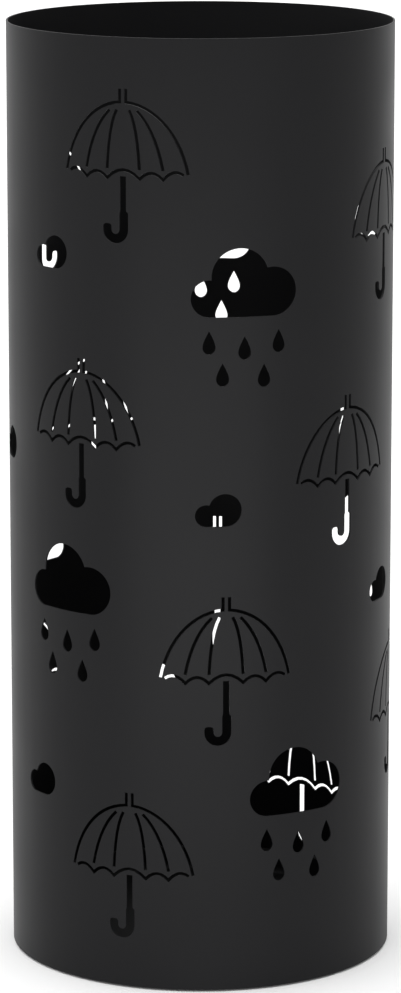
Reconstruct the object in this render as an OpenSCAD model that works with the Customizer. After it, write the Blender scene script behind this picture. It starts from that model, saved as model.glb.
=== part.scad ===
// Umbrella stand: a rolled, laser-cut sheet-steel tube with a welded-in base and a lift-out drip tray.
// The frame is +Z up, the origin is at the centre of the underside, and the front faces -Y.
// Angles run from the front towards +X. Lengths are millimetres.

/* [Tube] */
// Outer diameter of the rolled tube
outer_diameter = 200; // [165:1:260]
// Height of the stand, from the floor to the rim
overall_height = 490; // [400:1:620]
// Thickness of the sheet steel
sheet = 1; // [0.6:0.1:2]

/* [Seam] */
// Angle of the welded seam
seam_angle = 271.2; // [270:0.1:272.5]
// Gap between the rolled sheet's two edges, filled by the weld
seam_gap = 1.2; // [0.6:0.1:1.6]
// How far the weld bead stands proud inside
bead_proud = 0.4; // [0.1:0.1:0.8]

/* [Base] */
// Thickness of the base plate
plate_thickness = 1.5; // [1:0.1:3]
// How far the plate sits up inside the tube
plate_recess = 5; // [4:0.5:15]
// Gap all round between the plate and the seam's bead
plate_gap = 0.1; // [0.05:0.05:0.2]
// Number of weld beads between the plate and the tube
base_weld_count = 6; // [3:1:10]
// Arc that each weld bead covers
base_weld_arc = 12; // [4:1:20]
// Leg of each weld bead
base_weld_leg = 2.5; // [1.5:0.5:3.5]

/* [Feet] */
// Diameter of a rubber foot pad
pad_diameter = 22; // [14:1:30]
// How far the pads hold the tube off the floor
pad_proud = 1; // [0.5:0.1:3]
// Distance from a pad's edge to the tube's wall
pad_inset = 8; // [4:1:20]

/* [Drip tray] */
// Height of the tray
tray_height = 14; // [10:1:20]
// Thickness of the tray's floor and wall
tray_wall = 1.5; // [1:0.1:2.5]
// Gap all round between the tray's lip and the tube
tray_clearance = 1.6; // [1:0.1:4]
// Radius of the rolled lip's bead
lip_radius = 1.2; // [1:0.1:1.6]
// Outer radius where the tray's wall meets its floor
tray_corner = 5; // [3:0.5:8]

/* [Umbrella cut-outs] */
// Width of the canopy
canopy_w = 67.5; // [60:0.5:69]
// Drop from the ferrule's tip to the ends of the canopy
canopy_drop = 42; // [40:0.5:44]
// Length of the ferrule
ferrule_len = 6.6; // [4:0.5:8]
// Width of the metal left inside the ferrule
ferrule_w = 1.7; // [1.2:0.1:2]
// Width of a slot
slot_w = 1.6; // [1.2:0.1:1.8]
// Width of the shaft
shaft_w = 3.2; // [2:0.1:4]
// Width of the grip and its hook
grip_w = 4.7; // [4.2:0.1:5.2]
// Outer radius of the hook
hook_r = 6.9; // [6.4:0.1:7.5]
// Distance from the ferrule's tip to the bottom of the hook
umbrella_h = 77.4; // [75:0.2:79]

/* [Cloud cut-outs] */
// Width of a rain cloud
cloud_w = 54; // [48:0.5:56]
// Radii of a rain cloud's left, top and right lobes
lobe_r = [9.4, 14.6, 12.4];
// Length of a raindrop
drop_len = 11.8; // [9:0.1:12]
// Width of a raindrop
drop_w = 6.6; // [5:0.1:7]
// Width of a small cloud
puff_w = 23.6; // [20:0.1:25]
// Radii of a small cloud's left and right lobes
puff_r = [5.6, 8.4];

/* [Artwork] */
// Angle from one repeat of the pattern to the next
repeat_angle = 167.1; // [166:0.1:168]
// Height of the sheet that the pattern was drawn for
art_height = 490; // [470:1:510]
// Diameter of the tube that the pattern was drawn for
art_diameter = 200; // [195:1:205]

/* [Hidden] */
$fn = 96;

outer_r = outer_diameter / 2;
inner_r = outer_r - sheet;
tube_bottom = pad_proud;
plate_bottom = tube_bottom + plate_recess;
plate_top = plate_bottom + plate_thickness;
pad_count = 4;
pad_ring_r = inner_r - pad_inset - pad_diameter / 2;

// The motifs keep their drawn size unless the sheet is smaller than the one they were drawn for,
// and their heights move with the rim.
art_scale = min(1, overall_height / art_height, outer_diameter / art_diameter);
lift = overall_height / art_height;

// Places on the rolled sheet, as [angle, height at the drawn size].
// An umbrella's height is its ferrule's tip, a cloud's is its flat bottom.
umbrella_places = [[-22.7, 464.5], [69.4, 428], [-37.1, 327], [48.5, 306], [7.5, 208],
                   [-21.4, 104], [81.5, 172]];
cloud_places = [[12.9, 351], [-42.9, 195], [30.3, 92]];
puff_places = [[-49.1, 371], [5.2, 244.4], [67.8, 193], [-55.5, 94]];
// The pattern repeats round the tube, and one more small cloud fills the space beside the seam.
repeat_count = 2;
filler_puff = [-78.6, 265];

// ---- Outlines on the flat sheet ----

// A length along the sheet, as the straight distance it has seen from the motif's own direction
function rolled(p) = [outer_r * sin(p[0] * art_scale / outer_r * 180 / PI), p[1] * art_scale];
function arc(centre, r, from, to, steps) =
    [for (i = [0:steps]) let (a = from + (to - from) * i / steps) centre + r * [cos(a), sin(a)]];
function bezier(a, b, c, steps) =
    [for (i = [0:steps]) let (t = i / steps) (1 - t) * (1 - t) * a + 2 * t * (1 - t) * b + t * t * c];
function reversed(path) = [for (i = [len(path) - 1:-1:0]) path[i]];
function mirrored(path) = [for (p = path) [-p[0], p[1]]];

// Lower limit of a mitre's divisor, which keeps the sharpest corners from running out
blunt_corner = 1;
// Unit normal of the step from path[i] to path[i + 1], on its left
function step_normal(path, i) =
    let (s = path[i + 1] - path[i]) [-s[1], s[0]] / norm(s);
// A path moved sideways, with its corners mitred and its sharpest ones blunted
function beside(path, offset) =
    [for (i = [0:len(path) - 1])
        let (before = step_normal(path, max(i - 1, 0)), after = step_normal(path, min(i, len(path) - 2)))
        path[i] + offset * (before + after) / max(1 + before * after, blunt_corner)];
// The outline of a slot along a path
function slot_outline(path, width) =
    concat(beside(path, width / 2), reversed(beside(path, -width / 2)));

// One side of the ferrule and of the canopy's edge, which is part of an ellipse
canopy_rx = canopy_w / 2 + 0.8;
canopy_centre_y = -canopy_drop - 11.5;
canopy_ry = -ferrule_len - canopy_centre_y;
ferrule_x = ferrule_w / 2 + slot_w / 2;
function on_canopy(a) = [canopy_rx * cos(a), canopy_centre_y + canopy_ry * sin(a)];
function edge_path() =
    let (start = acos(ferrule_x / canopy_rx), end = asin((-canopy_drop - canopy_centre_y) / canopy_ry), steps = 13)
    concat([[ferrule_x, 0]], [for (i = [0:steps]) on_canopy(start + (end - start) * i / steps)]);

// The ribs on one side, as curves from the crown to the hem
rib_bottom = -canopy_drop + 1.8;
function inner_rib_path() = bezier([3.3, -10.4], [7.8, -18.4], [8.7, rib_bottom], 6);
function outer_rib_path() = bezier([7.3, -10.6], [17.1, -19.9], [20.9, rib_bottom], 7);

// The hem: five scallops between the canopy's ends and four tips
hem_end = canopy_w / 2 - 2.5;
hem_y = -canopy_drop - 2.7;
function scallop(a, b, rise, steps) =
    [for (i = [1:steps]) let (t = i / steps) a + t * (b - a) + [0, 4 * rise * t * (1 - t)]];
function hem_path() =
    let (ends = [[-hem_end, -canopy_drop - 0.3], [-20.8, hem_y], [-8.8, hem_y], [8.8, hem_y],
                 [20.8, hem_y], [hem_end, -canopy_drop - 0.3]],
         rises = [2.5, 3.2, 4.4, 3.2, 2.5])
    concat([ends[0]], [for (k = [0:4]) each scallop(ends[k], ends[k + 1], rises[k], 6)]);

// The shaft, the wider grip and the J hook, which turns to the left
shaft_top = -canopy_drop - 1.6;
grip_top = shaft_top - 17.4;
grip_left = -2;
grip_right = grip_left + grip_w;
hook_centre = [grip_right - hook_r, hook_r - umbrella_h];
hook_inner_r = hook_r - grip_w;
hook_left = hook_centre[0] - hook_r;
hook_tip_y = hook_centre[1] + 3;
tip_r = 1.5;
function handle_outline() = concat(
    [[-shaft_w / 2, shaft_top], [-shaft_w / 2, grip_top], [grip_left, grip_top - 1]],
    arc(hook_centre, hook_inner_r, 0, -180, 8),
    arc([hook_left + grip_w - tip_r, hook_tip_y - tip_r], tip_r, 0, 90, 3),
    arc([hook_left + tip_r, hook_tip_y - tip_r], tip_r, 90, 180, 3),
    arc(hook_centre, hook_r, -180, 0, 14),
    [[grip_right, grip_top - 1], [shaft_w / 2, grip_top], [shaft_w / 2, shaft_top]]);

// A raindrop's right side, from its tip down, with its points closer together towards the round end
drop_steps = 9;
function drop_half() =
    [for (i = [1:drop_steps - 1]) let (s = 1 - pow(1 - i / drop_steps, 1.7))
        [drop_w / 2 * pow(sin(180 * pow(s, 1.9)), 0.5), -drop_len * s]];
function drop_outline() =
    concat([[0, 0]], drop_half(), [[0.6, -drop_len], [-0.6, -drop_len]], reversed(mirrored(drop_half())));
// Tips of the five drops, from the middle of the cloud's flat bottom
drop_places = [[-18.2, -6.8], [-0.2, -9.7], [17.7, -6.8], [-11.4, -23.1], [9.9, -24]];

module umbrella_outline() {
    for (path = [edge_path(), inner_rib_path(), outer_rib_path()]) {
        polygon([for (p = slot_outline(path, slot_w)) rolled(p)]);
        polygon([for (p = slot_outline(mirrored(path), slot_w)) rolled(p)]);
    }
    polygon([for (p = slot_outline(hem_path(), slot_w)) rolled(p)]);
    polygon([for (p = handle_outline()) rolled(p)]);
}

module lobe(x, r) {
    translate([x, r] * art_scale) circle(r * art_scale);
}

module cloud_outline() {
    left = lobe_r[0] - cloud_w / 2;
    right = cloud_w / 2 - lobe_r[2];
    top = [left + 15.3, 20.1];
    lobe(left, lobe_r[0]);
    lobe(right, lobe_r[2]);
    translate(top * art_scale) circle(lobe_r[1] * art_scale);
    translate([left, 0] * art_scale) square([right - left, lobe_r[2]] * art_scale);
}

module raindrops_outline() {
    for (place = drop_places) polygon([for (p = drop_outline()) rolled(p + place)]);
}

module puff_outline() {
    left = puff_r[0] - puff_w / 2;
    right = puff_w / 2 - puff_r[1];
    lobe(left, puff_r[0]);
    lobe(right, puff_r[1]);
    translate([left, 0] * art_scale) square([right - left, puff_r[0]] * art_scale);
}

// Cuts an outline through the wall only, square to the tube at the motif's own place
module through_wall(place) {
    widest = canopy_w / 2 * art_scale / outer_r * 180 / PI;
    depth_from = inner_r * cos(widest) - 1;
    rotate([90, 0, place[0]]) translate([0, place[1] * lift, depth_from])
        linear_extrude(height = outer_r + 1 - depth_from) children();
}

module cut_outs() {
    for (i = [0:repeat_count - 1]) {
        turn = [i * repeat_angle, 0];
        for (place = umbrella_places) through_wall(place + turn) umbrella_outline();
        for (place = cloud_places) through_wall(place + turn) {
            cloud_outline();
            raindrops_outline();
        }
        for (place = puff_places) through_wall(place + turn) puff_outline();
    }
    through_wall(filler_puff) puff_outline();
}

// ---- Pieces ----

// A bar along the seam, from one radius to another
module seam_bar(from_r, to_r) {
    rotate([0, 0, seam_angle]) translate([-seam_gap / 2, -to_r, tube_bottom])
        cube([seam_gap, to_r - from_r, overall_height - tube_bottom]);
}

module tube() {
    color([0.05, 0.05, 0.055]) difference() {
        translate([0, 0, tube_bottom]) cylinder(h = overall_height - tube_bottom, r = outer_r);
        translate([0, 0, tube_bottom - 1]) cylinder(h = overall_height - tube_bottom + 2, r = inner_r);
        seam_bar(inner_r - 1, outer_r + 1);
        cut_outs();
    }
}

// The weld's outer face is ground flush with the tube
module seam_weld() {
    flush_r = sqrt(outer_r * outer_r - seam_gap * seam_gap / 4);
    color([0.09, 0.09, 0.095]) seam_bar(inner_r - bead_proud, flush_r);
}

module base_plate() {
    color([0.05, 0.05, 0.055]) translate([0, 0, plate_bottom])
        cylinder(h = plate_thickness, r = inner_r - bead_proud - plate_gap);
}

module base_welds() {
    color([0.12, 0.12, 0.12]) for (i = [0:base_weld_count - 1])
        rotate([0, 0, (i + 0.5) * 360 / base_weld_count - base_weld_arc / 2])
            rotate_extrude(angle = base_weld_arc)
                polygon([[inner_r - base_weld_leg, plate_bottom], [inner_r, plate_bottom - base_weld_leg],
                         [inner_r, plate_bottom]]);
}

module drip_tray() {
    lip_r = inner_r - tray_clearance - lip_radius;
    wall_r = lip_r;
    top = plate_top + tray_height;
    color([0.07, 0.07, 0.072]) {
        rotate_extrude() polygon(concat(
            [[0, plate_top]],
            arc([wall_r - tray_corner, plate_top + tray_corner], tray_corner, -90, 0, 6),
            [[wall_r, top - lip_radius]],
            arc([lip_r - 0.2, top - lip_radius], lip_radius + 0.2, 0, 180, 8),
            arc([wall_r - tray_corner, plate_top + tray_corner], tray_corner - tray_wall, 0, -90, 6),
            [[0, plate_top + tray_wall]]));
    }
}

module foot_pad(number) {
    color([0.03, 0.03, 0.03]) rotate([0, 0, 45 + 90 * (number - 1)]) translate([pad_ring_r, 0, 0])
        cylinder(h = plate_bottom, r = pad_diameter / 2);
}

tube();
seam_weld();
base_plate();
base_welds();
drip_tray();
foot_pad(1);  // foot_pad_1
foot_pad(2);  // foot_pad_2
foot_pad(3);  // foot_pad_3
foot_pad(4);  // foot_pad_4
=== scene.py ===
"""Umbrella stand: a rolled sheet-steel tube in satin black powder coat, cut with umbrellas and rain clouds.

Lengths are in metres and the frame is the CAD's: +Z up, origin at floor level on the tube's axis, and
the front faces -Y.
"""
import math

import bmesh
import bpy
from mathutils import Euler, Matrix, Vector

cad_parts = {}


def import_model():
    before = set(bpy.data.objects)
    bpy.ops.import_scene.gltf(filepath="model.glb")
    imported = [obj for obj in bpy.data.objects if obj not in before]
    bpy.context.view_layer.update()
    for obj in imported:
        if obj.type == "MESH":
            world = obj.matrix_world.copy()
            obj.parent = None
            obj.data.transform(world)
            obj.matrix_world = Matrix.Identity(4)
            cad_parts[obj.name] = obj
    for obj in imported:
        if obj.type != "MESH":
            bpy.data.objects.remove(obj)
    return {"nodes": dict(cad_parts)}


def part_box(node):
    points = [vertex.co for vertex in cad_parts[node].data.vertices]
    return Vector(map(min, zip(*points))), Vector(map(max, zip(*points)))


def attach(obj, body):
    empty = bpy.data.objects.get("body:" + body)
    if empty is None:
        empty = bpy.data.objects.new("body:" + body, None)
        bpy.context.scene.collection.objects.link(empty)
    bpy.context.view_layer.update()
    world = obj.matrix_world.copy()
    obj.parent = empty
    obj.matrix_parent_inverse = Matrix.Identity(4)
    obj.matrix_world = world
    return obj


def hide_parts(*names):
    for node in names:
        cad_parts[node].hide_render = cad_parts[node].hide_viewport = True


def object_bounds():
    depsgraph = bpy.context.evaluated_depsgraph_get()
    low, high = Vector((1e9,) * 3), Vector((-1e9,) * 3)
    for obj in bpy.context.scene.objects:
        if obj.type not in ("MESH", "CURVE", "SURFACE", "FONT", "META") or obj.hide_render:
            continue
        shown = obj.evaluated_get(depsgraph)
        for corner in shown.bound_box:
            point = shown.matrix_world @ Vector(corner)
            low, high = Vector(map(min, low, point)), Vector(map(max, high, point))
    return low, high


MM = 0.001

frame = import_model()
cad_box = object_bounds()
nodes = frame["nodes"]

RADIUS = cad_box[1][0]
RIM = cad_box[1][2]
SHEET = 1 * MM
INNER_RADIUS = RADIUS - SHEET
PLATE_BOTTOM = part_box("base_plate")[0][2]
TUBE_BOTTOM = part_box("tube")[0][2]
seam_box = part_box("seam_weld")
SEAM_ANGLE = math.atan2(seam_box[0][1] + seam_box[1][1], seam_box[0][0] + seam_box[1][0])


# Edges that turn by more than this are cut or moulded corners. Gentler ones are part of a round face.
CORNER = math.radians(40)


# ---- Small helpers ----

def srgb(hex_colour):
    """A linear RGBA colour from an sRGB hex value."""
    def linear(c):
        return c / 12.92 if c <= 0.04045 else ((c + 0.055) / 1.055) ** 2.4
    values = [int(hex_colour[i:i + 2], 16) / 255 for i in (1, 3, 5)]
    return (*[linear(v) for v in values], 1.0)


def add_node(tree, kind, settings=None, **inputs):
    """Adds a node, sets its properties, and gives each input a value or links it to an output."""
    node = tree.nodes.new(kind)
    for name, value in (settings or {}).items():
        setattr(node, name, value)
    for name, value in inputs.items():
        socket = node.inputs[name.replace("_", " ")]
        if isinstance(value, bpy.types.NodeSocket):
            tree.links.new(value, socket)
        else:
            socket.default_value = value
    return node


def new_material(name):
    """A material with an empty node tree."""
    material = bpy.data.materials.new(name)
    material.use_nodes = True
    material.node_tree.nodes.clear()
    return material, material.node_tree


def finish_material(tree, shader):
    add_node(tree, "ShaderNodeOutputMaterial", Surface=shader.outputs["BSDF"])


def new_piece(name, shape, material, replaced=None):
    """Makes an object from a bmesh. It rides on the stand, and stands for a CAD node if one is given."""
    mesh = bpy.data.meshes.new(name)
    shape.to_mesh(mesh)
    shape.free()
    mesh.materials.append(material)
    piece = bpy.data.objects.new(name, mesh)
    bpy.context.scene.collection.objects.link(piece)
    if replaced:
        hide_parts(replaced)
    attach(piece, "stand")
    return piece


def merged_copy(node_name):
    """A CAD node's shape as a bmesh whose triangles are joined."""
    shape = bmesh.new()
    shape.from_mesh(nodes[node_name].data)
    bmesh.ops.remove_doubles(shape, verts=shape.verts, dist=0.001 * MM)
    return shape


def corners(shape):
    """The edges where two faces meet at a corner."""
    return [e for e in shape.edges if len(e.link_faces) == 2 and e.calc_face_angle(0) > CORNER]


def smooth(piece):
    """Shades every face of a piece as part of one round surface."""
    piece.data.polygons.foreach_set("use_smooth", [True] * len(piece.data.polygons))


def set_material(node_name, material):
    slots = nodes[node_name].material_slots
    if not slots:
        nodes[node_name].data.materials.append(material)
    for slot in nodes[node_name].material_slots:
        slot.material = material


# ---- Materials ----

def powder_coat(name, peel_size, peel_depth):
    """Black polyester powder coat, sprayed dry and baked on.

    It is a thick satin film, so reflections are soft, darker face on and bright along grazing edges,
    and a fine orange peel breaks them up. The film's gloss drifts a little from place to place.
    """
    material, tree = new_material(name)
    place = add_node(tree, "ShaderNodeTexCoord").outputs["Object"]
    peel = add_node(tree, "ShaderNodeTexNoise", Vector=place, Scale=1 / peel_size, Detail=2.0,
                    Roughness=0.5)
    drift = add_node(tree, "ShaderNodeTexNoise", Vector=place, Scale=1 / (60 * MM), Detail=1.0)
    gloss = add_node(tree, "ShaderNodeMapRange", Value=drift.outputs["Fac"], From_Min=0.3, From_Max=0.7,
                     To_Min=0.39, To_Max=0.45)
    tone = add_node(tree, "ShaderNodeMix", {"data_type": "RGBA"}, Factor=drift.outputs["Fac"])
    tone.inputs["A"].default_value = srgb("#161617")
    tone.inputs["B"].default_value = srgb("#19191a")
    bump = add_node(tree, "ShaderNodeBump", Height=peel.outputs["Fac"], Strength=0.3,
                    Distance=peel_depth)
    shader = add_node(tree, "ShaderNodeBsdfPrincipled", Base_Color=tone.outputs["Result"],
                      Roughness=gloss.outputs["Result"], Normal=bump.outputs["Normal"])
    shader.inputs["Specular IOR Level"].default_value = 0.085
    finish_material(tree, shader)
    return material


def moulded_polypropylene():
    """Black polypropylene, injection moulded in a spark-eroded mould, so it is matt with a dull sheen."""
    material, tree = new_material("black moulded polypropylene")
    place = add_node(tree, "ShaderNodeTexCoord").outputs["Object"]
    # The real grain is about 0.15 mm. It is drawn at 0.5 mm so that it shows.
    grain = add_node(tree, "ShaderNodeTexNoise", Vector=place, Scale=1 / (0.5 * MM), Detail=3.0,
                     Roughness=0.6)
    flow = add_node(tree, "ShaderNodeTexNoise", Vector=place, Scale=1 / (35 * MM), Detail=1.0)
    tone = add_node(tree, "ShaderNodeMix", {"data_type": "RGBA"}, Factor=flow.outputs["Fac"])
    tone.inputs["A"].default_value = srgb("#141415")
    tone.inputs["B"].default_value = srgb("#19191a")
    gloss = add_node(tree, "ShaderNodeMapRange", Value=grain.outputs["Fac"], To_Min=0.48, To_Max=0.62)
    bump = add_node(tree, "ShaderNodeBump", Height=grain.outputs["Fac"], Strength=0.4, Distance=0.05 * MM)
    shader = add_node(tree, "ShaderNodeBsdfPrincipled", Base_Color=tone.outputs["Result"],
                      Roughness=gloss.outputs["Result"], Normal=bump.outputs["Normal"], IOR=1.49)
    shader.inputs["Specular IOR Level"].default_value = 0.25
    finish_material(tree, shader)
    return material


def pad_rubber():
    """Black EPDM rubber, punched from sheet: very matt, with a faint grey bloom and a woven-press grain."""
    material, tree = new_material("black punched EPDM rubber")
    place = add_node(tree, "ShaderNodeTexCoord").outputs["Object"]
    grain = add_node(tree, "ShaderNodeTexNoise", Vector=place, Scale=1 / (0.6 * MM), Detail=3.0)
    bloom = add_node(tree, "ShaderNodeTexNoise", Vector=place, Scale=1 / (9 * MM), Detail=2.0)
    tone = add_node(tree, "ShaderNodeMix", {"data_type": "RGBA"}, Factor=bloom.outputs["Fac"])
    tone.inputs["A"].default_value = srgb("#161616")
    tone.inputs["B"].default_value = srgb("#232323")
    gloss = add_node(tree, "ShaderNodeMapRange", Value=bloom.outputs["Fac"], To_Min=0.75, To_Max=0.9)
    bump = add_node(tree, "ShaderNodeBump", Height=grain.outputs["Fac"], Strength=0.5, Distance=0.08 * MM)
    shader = add_node(tree, "ShaderNodeBsdfPrincipled", Base_Color=tone.outputs["Result"],
                      Roughness=gloss.outputs["Result"], Normal=bump.outputs["Normal"], IOR=1.52)
    finish_material(tree, shader)
    return material


# ---- Pieces ----

def cut_tube(material):
    """The tube with its cut edges eased, as the blast and the coat leave them, but not along the seam."""
    ease = 0.12 * MM
    seam_reach = 1 * MM
    seam = Vector((math.cos(SEAM_ANGLE), math.sin(SEAM_ANGLE), 0))

    def at_seam(edge):
        return all(v.co.dot(seam) > 0 and abs(v.co.cross(seam).z) < seam_reach for v in edge.verts)

    shape = merged_copy("tube")
    cut_edges = [e for e in corners(shape) if not at_seam(e)]
    bmesh.ops.bevel(shape, geom=cut_edges, offset=ease, segments=1, profile=0.5, affect="EDGES",
                    clamp_overlap=False, material=-1)
    bmesh.ops.triangulate(shape, faces=[f for f in shape.faces if len(f.verts) > 4])
    piece = new_piece("cut_steel_tube", shape, material, "tube")
    follow_the_cylinder(piece.data)


def follow_the_cylinder(mesh):
    """Gives the rolled faces, and the eased edges that meet them, the cylinder's own normals.

    They shade as one smooth curve. How squarely a face looks away from the tube's axis says what it is.
    """
    rolled_from = 0.985
    eased_from, eased_to = 0.2, 0.95

    def outwards(place):
        return Vector((place.x, place.y, 0)).normalized()

    walls = {face.index for face in mesh.polygons
             if abs(face.normal.dot(outwards(face.center))) > rolled_from}
    rolled = {point for index in walls for point in mesh.polygons[index].vertices}
    normals = [None] * len(mesh.loops)
    for face in mesh.polygons:
        face.use_smooth = True
        for loop in face.loop_indices:
            point = mesh.loops[loop].vertex_index
            radial = outwards(mesh.vertices[point].co)
            facing = face.normal.dot(radial)
            if face.index in walls or (point in rolled and eased_from < abs(facing) < eased_to):
                normals[loop] = radial if facing > 0 else -radial
            else:
                normals[loop] = face.normal.copy()
    mesh.normals_split_custom_set(normals)


def draw_bead(shape, start, step, count, radii):
    """A weld bead: an oval section drawn along in steps, which swell and shrink it as the weld pool set."""
    ripple = 1.12
    section = bmesh.ops.create_circle(shape, cap_ends=True, segments=12, radius=1.0,
                                      matrix=start @ Matrix.Diagonal((*radii, 1, 1)))["verts"]
    face = section[0].link_faces[0]
    place = start
    for i in range(count):
        # The face's edges are given too, so that the old face goes and no wall is left inside the bead.
        grown = bmesh.ops.extrude_face_region(shape, geom=[face, *face.edges])["geom"]
        section = [v for v in grown if isinstance(v, bmesh.types.BMVert)]
        face = next(f for f in grown if isinstance(f, bmesh.types.BMFace))
        bmesh.ops.transform(shape, matrix=place @ step @ place.inverted(), verts=section)
        place = place @ step
        swell = ripple if i % 2 else 1 / ripple
        bmesh.ops.transform(shape, verts=section,
                            matrix=place @ Matrix.Diagonal((swell, swell, 1, 1)) @ place.inverted())


def seam_bead(material):
    """The rippled root of the seam's weld, which shows down the inside."""
    pitch = 1.5 * MM
    end_gap = 1 * MM
    inset = 0.05 * MM
    proud, half_width = 0.5 * MM, 1.1 * MM
    count = int((RIM - TUBE_BOTTOM - 2 * end_gap) / pitch)
    shape = bmesh.new()
    start = (Matrix.Rotation(SEAM_ANGLE, 4, "Z")
             @ Matrix.Translation((INNER_RADIUS - inset, 0, TUBE_BOTTOM + end_gap)))
    draw_bead(shape, start, Matrix.Translation((0, 0, pitch)), count, (proud, half_width))
    bmesh.ops.recalc_face_normals(shape, faces=shape.faces)
    smooth(new_piece("seam_root_bead", shape, material))


def plate_beads(material):
    """Six short fillet welds under the base plate."""
    bead_count, pitch_angle, steps = 6, math.radians(0.75), 16
    inset, bead_radius = 0.9 * MM, 1.3 * MM
    shape = bmesh.new()
    turn = Matrix.Rotation(math.pi / bead_count - pitch_angle * steps / 2, 4, "Z")
    start = (turn @ Matrix.Translation((INNER_RADIUS - inset, 0, PLATE_BOTTOM - inset))
             @ Matrix.Rotation(-math.pi / 2, 4, "X"))
    # One step turns about the tube's axis, as seen from the section's own place.
    step = start.inverted() @ Matrix.Rotation(pitch_angle, 4, "Z") @ start
    draw_bead(shape, start, step, steps, (bead_radius, bead_radius))
    bmesh.ops.recalc_face_normals(shape, faces=shape.faces)
    bmesh.ops.spin(shape, geom=shape.verts[:] + shape.edges[:] + shape.faces[:], cent=(0, 0, 0),
                   axis=(0, 0, 1), angle=2 * math.pi * (bead_count - 1) / bead_count,
                   steps=bead_count - 1, use_duplicate=True)
    smooth(new_piece("base_weld_beads", shape, material, "base_welds"))


def foot_pad(node_name, material):
    """A punched pad, with its edges rounded where the punch pulls the rubber in."""
    shape = merged_copy(node_name)
    bmesh.ops.bevel(shape, geom=corners(shape), offset=0.5 * MM, segments=3, profile=0.5, affect="EDGES",
                    material=-1)
    piece = new_piece(node_name + "_rounded", shape, material, node_name)
    for face in piece.data.polygons:
        face.use_smooth = abs(face.normal.z) < 0.999


# ---- The stand, piece by piece ----

coat = powder_coat("black satin polyester powder coat", 0.9 * MM, 0.02 * MM)
weld_coat = powder_coat("black powder coat over weld", 1.4 * MM, 0.2 * MM)
plastic = moulded_polypropylene()
rubber = pad_rubber()

for node_name in ("tube", "base_plate", "seam_weld"):
    set_material(node_name, coat)
set_material("base_welds", weld_coat)
set_material("drip_tray", plastic)
cut_tube(coat)
seam_bead(weld_coat)
plate_beads(weld_coat)
for number in (1, 2, 3, 4):
    set_material(f"foot_pad_{number}", rubber)
    foot_pad(f"foot_pad_{number}", rubber)


# ---- Studio ----

def floor():
    """A pale matt floor, wide enough to fill every view."""
    mesh = bpy.data.meshes.new("studio floor")
    shape = bmesh.new()
    bmesh.ops.create_grid(shape, x_segments=1, y_segments=1, size=6.0)
    shape.to_mesh(mesh)
    shape.free()
    piece = bpy.data.objects.new("studio_floor", mesh)
    bpy.context.scene.collection.objects.link(piece)
    material, tree = new_material("white matt studio floor")
    shader = add_node(tree, "ShaderNodeBsdfPrincipled", Base_Color=(0.9, 0.9, 0.9, 1), Roughness=0.9)
    finish_material(tree, shader)
    mesh.materials.append(material)


def world():
    """A white room, brightest overhead, and dimmer at the front and on the right."""
    sky = bpy.data.worlds.new("studio")
    sky.use_nodes = True
    tree = sky.node_tree
    tree.nodes.clear()
    towards = add_node(tree, "ShaderNodeTexCoord").outputs["Generated"]
    axes = add_node(tree, "ShaderNodeSeparateXYZ", Vector=towards)
    eased = {"interpolation_type": "SMOOTHSTEP"}
    front = add_node(tree, "ShaderNodeMapRange", eased, Value=axes.outputs["Y"],
                     From_Min=-1.0, From_Max=-0.5, To_Min=0.5, To_Max=1.0)
    above = add_node(tree, "ShaderNodeMapRange", eased, Value=axes.outputs["Z"],
                     From_Min=0.2, From_Max=0.9, To_Min=0.0, To_Max=0.9)
    side = add_node(tree, "ShaderNodeMapRange", eased, Value=axes.outputs["X"],
                    From_Min=0.0, From_Max=0.8, To_Min=1.0, To_Max=0.5)
    level = add_node(tree, "ShaderNodeMath", {"operation": "MULTIPLY_ADD"})
    for part, socket in zip((front, side, above), level.inputs):
        tree.links.new(part.outputs["Result"], socket)
    # The camera sees the room itself as plain white, from every side.
    seen = add_node(tree, "ShaderNodeLightPath").outputs["Is Camera Ray"]
    shown = add_node(tree, "ShaderNodeMath", {"operation": "MAXIMUM"})
    for source, socket in zip((level.outputs["Value"], seen), shown.inputs):
        tree.links.new(source, socket)
    light = add_node(tree, "ShaderNodeBackground", Color=(1, 1, 1, 1), Strength=shown.outputs["Value"])
    add_node(tree, "ShaderNodeOutputWorld", Surface=light.outputs["Background"])
    bpy.context.scene.world = sky


def front_softbox():
    """A long low softbox in front, whose soft reflection fills the lower middle of the tube."""
    data = bpy.data.lights.new("front softbox", "AREA")
    data.shape = "RECTANGLE"
    data.size, data.size_y = 1.3, 0.2
    data.energy = 3.4
    light = bpy.data.objects.new("front softbox", data)
    light.location = (-0.03, -0.85, 0.1)
    light.rotation_euler = Euler((math.radians(95), 0, 0))
    light.visible_camera = False
    bpy.context.scene.collection.objects.link(light)


def camera():
    """A long lens from above the height of the rim, tilted down at the stand."""
    distance, height, tilt = 2.275, 0.711, math.radians(11.71)
    focal_px, frame_px = 4423, 993
    data = bpy.data.cameras.new("camera")
    data.sensor_fit = "VERTICAL"
    data.sensor_height = 36
    data.lens = focal_px / frame_px * data.sensor_height
    cam = bpy.data.objects.new("camera", data)
    cam.location = (0, -distance, height)
    cam.rotation_euler = Euler((math.pi / 2 - tilt, 0, 0))
    bpy.context.scene.collection.objects.link(cam)
    bpy.context.scene.camera = cam


floor()
world()
front_softbox()
camera()
bpy.context.scene.view_settings.view_transform = "Standard"
